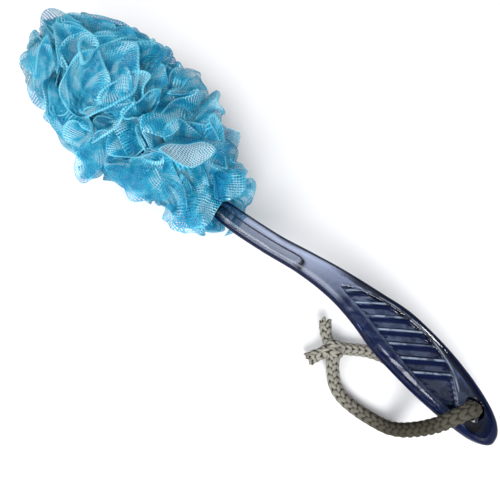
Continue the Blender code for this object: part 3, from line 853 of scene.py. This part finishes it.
def sheet_points(rng, at, radius, loops, across, along):
    """One length of flattened net tube, from its gather out to its fold and back: angle, distance, reach."""
    t = np.linspace(0, 2 * math.pi, len(across), endpoint=False)[:, None]
    share, layer, beyond = folded(np.linspace(0, 1, OUT_STEPS))
    around_step, along_step = np.gradient(np.unwrap(across)), np.gradient(along)
    size = np.hypot(around_step, along_step)
    normal = np.stack([-along_step / size, around_step / size], -1)[:, None, :]
    grow = share**1.1
    place = np.stack([(t * (1 - grow) + across[:, None] * grow) * radius, along[:, None] * grow * radius], -1)
    puff = 0.0016 * (1.2 + noise_wave(rng, 6, loops // 2, 2 * loops)(t)).clip(0.1) * np.sin(math.pi * share)
    pleat = 0.0008 * noise_wave(rng, 9, 3 * loops, 6 * loops)(t) * share**0.4 * (1.1 - share)
    flop = noise_wave(rng, 6, loops // 2, int(1.4 * loops))(t)
    offset = layer * (FOLD_RADIUS + puff) + pleat + 0.0060 * flop * share**3
    place = place + normal * offset[..., None]
    height = 1.02 - 0.055 * noise_wave(rng, 7, loops // 2, 2 * loops)(t) ** 2
    reach = GATHER_RADIUS + (radius * height - FOLD_RADIUS - GATHER_RADIUS) * share + FOLD_RADIUS * beyond
    reach = reach - 0.0012 * flop**2 * share**4
    return place[..., 0] / radius, at + place[..., 1], reach


def soft_limit(values, lowest, highest, margin):
    """Ease values that run past a limit so that they crowd up just inside it."""
    low = lowest + margin * np.exp(np.clip((values - lowest - margin) / margin, -40, 0))
    values = np.where(values < lowest + margin, low, values)
    high = highest - margin * np.exp(np.clip((highest - margin - values) / margin, -40, 0))
    return np.where(values > highest - margin, high, values)


def lay_over(angle, distance, reach, radius, number):
    """Lean the sheets' outer parts over, the same way wherever they lie near each other."""
    far = np.clip(reach / radius, 0, 1.2) ** 2.6
    swirl = 0.30 * np.sin(2 * angle + 45 * distance + 0.7) + 0.20 * np.sin(3 * angle - 70 * distance + 2.1)
    drift = (0.0095 * np.sin(2 * angle - 60 * distance + 1.9)
             + 0.006 * np.sin(5 * angle + 80 * distance + number))
    return angle + far * swirl, distance + far * drift


def bulge(angle, distance):
    """How much further out than the plain head the netting reaches at an angle and a distance."""
    total = np.zeros(angle.shape)
    for at, turn, spread, wide, height in BULGES:
        off = (angle - math.radians(turn) + math.pi) % (2 * math.pi) - math.pi
        total += height * stripe(off, math.radians(wide)) * stripe(distance - at, spread)
    return total


def crumple(points):
    """Soft creases all through the netting: a sum of slow waves in space."""
    moved = points.copy()
    for size, waves in ((0.0017, 105.0), (0.0006, 240.0)):
        for k in range(3):
            x, y, z = (points[..., (k + i) % 3] * waves for i in range(3))
            slow = np.sin(1.3 * y + 1.7 * np.sin(0.6 * z + k))
            moved[..., k] += size * (slow + np.sin(1.1 * z - 0.8 * x + 2.0 * k))
    return moved


def petal(centre, out, facing, size, cup, sheer, seed):
    """Rounded lobe of thin folded net that stands out of a ruff; size is its half width and half length."""
    rng = np.random.default_rng(seed)
    out = unit(np.array(out, float))
    facing = np.array(facing, float)
    facing = unit(facing - out * (facing @ out))
    side = np.cross(out, facing)
    share, layer, beyond = folded(np.linspace(0.02, 1, PETAL_OUT_STEPS))
    turn = np.linspace(0, 2 * math.pi, PETAL_TURN_STEPS, endpoint=False)[:, None]
    outline = 1 + 0.05 * noise_wave(rng, 4, 2, 5)(turn)
    x, y = size[0] * share * outline * np.cos(turn), size[1] * share * outline * np.sin(turn)
    fan = np.arctan2(x, y + 1.25 * size[1])
    crease = 0.0009 * noise_wave(rng, 4, 2, 6)(2.2 * fan) * (0.3 + share)
    lift = (-cup * share**2 + crease + 0.05 * size[0] * noise_wave(rng, 4, 2, 5)(turn) * share**4
            + 0.7 * FOLD_RADIUS * layer)
    around = FOLD_RADIUS * beyond
    points = crumple(np.array(centre) + (x + around * np.cos(turn))[..., None] * side
                     + (y + around * np.sin(turn))[..., None] * out + lift[..., None] * facing)
    points[..., 1] = soft_limit(points[..., 1], *NET_SIDES, CROWDING)
    points[..., 2] = soft_limit(points[..., 2], NET_BOTTOM, PETAL_TOP, CROWDING)
    piece = grid_mesh("petal", points, around=True, along=True, uv=closed_uv(x, y, 0.1 * seed))
    write_attribute(piece, "rim", np.broadcast_to(0.8 * step_up(beyond, 0.3, 0.9), points.shape[:2]))
    write_attribute(piece, "sheer", np.full(points.shape[:2], sheer))
    return piece


def loose_lobes(number, middle):
    """Large lobes that lie over a ruff all round, each leaning its own way with its root tucked in."""
    rng = np.random.default_rng(100 + number)
    lobes = []
    for k in range(LOOSE_LOBES):
        turn = 2 * math.pi * (k + 0.5 * (number % 2) + rng.uniform(-0.2, 0.2)) / LOOSE_LOBES
        at = middle + RUFF_PITCH * rng.uniform(-0.3, 0.3)
        plain = value_at(HEAD_RADIUS, at)
        radial = np.array([0, math.sin(turn), math.cos(turn)])
        aside = np.array([0, value_at(HEAD_SIDESHIFT, at), 0])
        reach = 0.90 * plain + float(bulge(np.array(turn), np.array(at)))
        lean = rng.uniform(0, 2 * math.pi)
        round_stem = np.cross(radial, [1.0, 0, 0])
        out = np.array([math.cos(lean), 0, 0]) + math.sin(lean) * round_stem + 0.4 * radial
        size = np.array([rng.uniform(0.013, 0.018), rng.uniform(0.012, 0.017)]) * min(plain / 0.036, 1)
        centre = spine(np.array([at]))[0][0] + aside + reach * radial
        lobes.append(petal(centre, out, radial, size, 0.35 * size[0], rng.uniform(0.1, 0.5), 10 * number + k))
    return lobes


def open_fold():
    """Mouth of one fold of the first ruff, which stands open, with painted light on the net inside it."""
    out = np.array([0.553, -0.420, 0.718])
    long_way = np.array([0.62, 0.76, 0.10])
    long_way = unit(long_way - out * (long_way @ out) / (out @ out))
    short_way = np.cross(out, long_way)
    half_long, half_short, half_short_flat = 0.0150, 0.0056, 0.0080
    centre = np.array([-0.0255, -0.0136, 0.0660]) + out * 0.003
    thickness = 0.0010
    # From far outside the mouth's rim, over it at 1.03, and down into the middle: share and depth.
    front = [(1.60, -0.0120), (1.25, -0.0040), (1.03, 0.0010), (0.90, 0.0002), (0.60, -0.0022),
             (0.03, -0.0030)]
    profile = smooth_closed(front + [(share, depth - thickness) for share, depth in front[::-1]], 6)
    turn = np.linspace(0, 2 * math.pi, 120, endpoint=False)[:, None]
    share, depth = profile[None, :, 0], profile[None, :, 1]
    wobble = share * (1 + 0.05 * np.sin(3 * turn + 0.6) + 0.03 * np.sin(5 * turn))
    lift = depth + 0.0022 * np.clip(share, 0, 1) ** 2 * np.sin(turn + 0.4)
    points = crumple(centre + (half_long * wobble * np.cos(turn))[..., None] * long_way
                     + (half_short * wobble * np.sin(turn))[..., None] * short_way + lift[..., None] * out)
    uv = closed_uv(half_long * share * np.cos(turn), half_short_flat * share * np.sin(turn), 0.5)
    fold = grid_mesh("open_fold", points, around=True, along=True, uv=uv)
    # The fold's rim, and the share of painted light over the mouth's inside.
    rim, pale = step_down(np.abs(share - 1.03), 0.02, 0.10), step_down(share, 0.95, 1.06)
    write_attribute(fold, "rim", np.broadcast_to(rim, points.shape[:2]))
    write_attribute(fold, "pale", np.broadcast_to(pale, points.shape[:2]))
    return fold


def ruffle(rng, number, at, size, loops, across, along):
    """One gathered length of net, size times as wide as the head, and the width of its tube laid flat."""
    radius = value_at(HEAD_RADIUS, at) * size
    swing = along * RIM_SWING / (np.abs(along).max() * radius)
    angle, distance, reach = sheet_points(rng, at, radius, loops, across, swing)
    angle, distance = lay_over(angle, distance, reach, radius, number)
    distance = soft_limit(distance, HEAD_START, NETTING_END, 0.006)
    within = np.clip(distance.ravel(), HEAD_START, HEAD_END)
    limit = smooth(HEAD_RADIUS, within).reshape(distance.shape) * size
    reach = reach * (0.35 + 0.65 * limit / radius)
    if size >= 1:
        reach = reach + bulge(angle, distance) * np.clip(reach / radius, 0, 1) ** 3
    centre = spine(distance.ravel())[0].reshape(distance.shape + (3,))
    aside = smooth(HEAD_SIDESHIFT, within).reshape(distance.shape) * np.clip(reach / radius, 0, 1)
    outward = np.stack([np.zeros_like(reach), reach * np.sin(angle) + aside, reach * np.cos(angle)], -1)
    points = crumple(centre + outward)
    points[..., 2] = soft_limit(points[..., 2], NET_BOTTOM, NO_LIMIT, CROWDING)
    rim, line = points[:, OUT_STEPS], points[5]
    run = run_along(np.concatenate([rim, rim[:1]]))
    depth = run_along(np.concatenate([line, line[:1]]))
    uv = np.stack(np.meshgrid(run, depth, indexing="ij"), -1)
    piece = grid_mesh("ruffle", points, around=True, along=True, uv=uv)
    off_rim = np.abs(np.arange(points.shape[1]) - (points.shape[1] - 1) / 2) / OUT_STEPS
    write_attribute(piece, "rim", np.broadcast_to(step_down(off_rim, 0.03, 0.10), points.shape[:2]))
    return piece, depth[-1] / 2


def make_ruff(number, rng, material):
    """One ruff: its gathered lengths of net, its petals and loose lobes, and the first ruff's open fold."""
    pieces, tube_widths = [], []
    middle = RUFF_START + RUFF_PITCH * (number - 0.5)
    loops = 0
    for shift, size in {1: FIRST_SHEETS, RUFF_COUNT: LAST_SHEETS}.get(number, SHEETS):
        at = middle + RUFF_PITCH * shift
        loops_here = round(value_at(HEAD_RADIUS, at) * 2 * math.pi / LOBE_WIDTH)
        if loops != loops_here:
            loops = loops_here
            across, along = meander(rng, loops, 1.85, loops * STEPS_PER_LOOP)
        piece, tube_width = ruffle(rng, number, at, size, loops, across, along)
        pieces.append(piece)
        tube_widths.append(tube_width)
    if number == 1:
        pieces.append(open_fold())
    pieces += [petal(*entry) for where, *entry in PETALS if where == number] + loose_lobes(number, middle)
    ruff = join(f"netting_{number}", pieces)
    ruff.data.materials.append(material)
    tube_width = sum(tube_widths) / len(tube_widths)
    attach(ruff, "scrubber")
    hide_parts(f"netting_ruff_{number}")


def make_netting(material):
    rng = np.random.default_rng(7)
    for number in range(1, RUFF_COUNT + 1):
        make_ruff(number, rng, material)


def finish_ties(material):
    """The tie cords are the frame's own solids, in their finished material."""
    for number in range(1, RUFF_COUNT + 1):
        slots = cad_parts[f"tie_cord_{number}"].data.materials
        slots.clear()
        slots.append(material)


# ---------------------------------------------------------------- studio
CAMERA_PLACE = (0.1352, -0.1359, 0.275)
CAMERA_AIM = (-0.3677, 0.3978, -0.8406)
# Each lamp: name, place, size and power. All aim at the origin.
LAMPS = [
    ("key", (0.80, -0.80, 0.85), 0.6, 24), ("fill", (-0.5, -0.9, 0.9), 1.0, 12),
    ("glint", (0.55, 0.95, 0.35), 0.15, 2),
]


def make_floor():
    bpy.ops.mesh.primitive_plane_add(size=6)
    floor = bpy.context.object
    floor.name = "floor"
    material, tree, shader = new_material("pale_floor")
    put_all(tree, shader, Base_Color=(0.86, 0.86, 0.87, 1), Roughness=0.9)
    floor.data.materials.append(material)


def make_sky():
    """Pale sky that is bright overhead and dim at the horizon."""
    world = bpy.data.worlds.new("studio")
    bpy.context.scene.world = world
    world.use_nodes = True
    tree = world.node_tree
    _, direction = coordinates(tree, "Generated")
    strength = ramp(tree, direction[2], 0.10, 0.60, 0.05, 0.52)
    put_all(tree, tree.nodes["Background"], Color=(0.95, 0.97, 1.0, 1), Strength=strength)


def make_lamps():
    for name, place, size, power in LAMPS:
        light = bpy.data.lights.new(name, "AREA")
        light.size = size
        light.energy = power
        lamp = link(name, light)
        lamp.location = place
        lamp.rotation_euler = (-Vector(place)).to_track_quat("-Z", "Y").to_euler()


def make_camera():
    camera = link("camera", bpy.data.cameras.new("camera"))
    camera.location = CAMERA_PLACE
    camera.rotation_euler = Vector(CAMERA_AIM).to_track_quat("-Z", "Y").to_euler()
    camera.data.sensor_width = 36
    camera.data.lens = 36.3
    camera.data.clip_start = 0.01
    bpy.context.scene.camera = camera


make_floor()
make_sky()
make_lamps()
make_camera()
bpy.context.scene.view_settings.view_transform = "Standard"
bpy.context.scene.cycles.transparent_max_bounces = 24
make_handle(clear_blue_material())
make_rope(rope_material())
make_netting(netting_material())
finish_ties(tie_material())
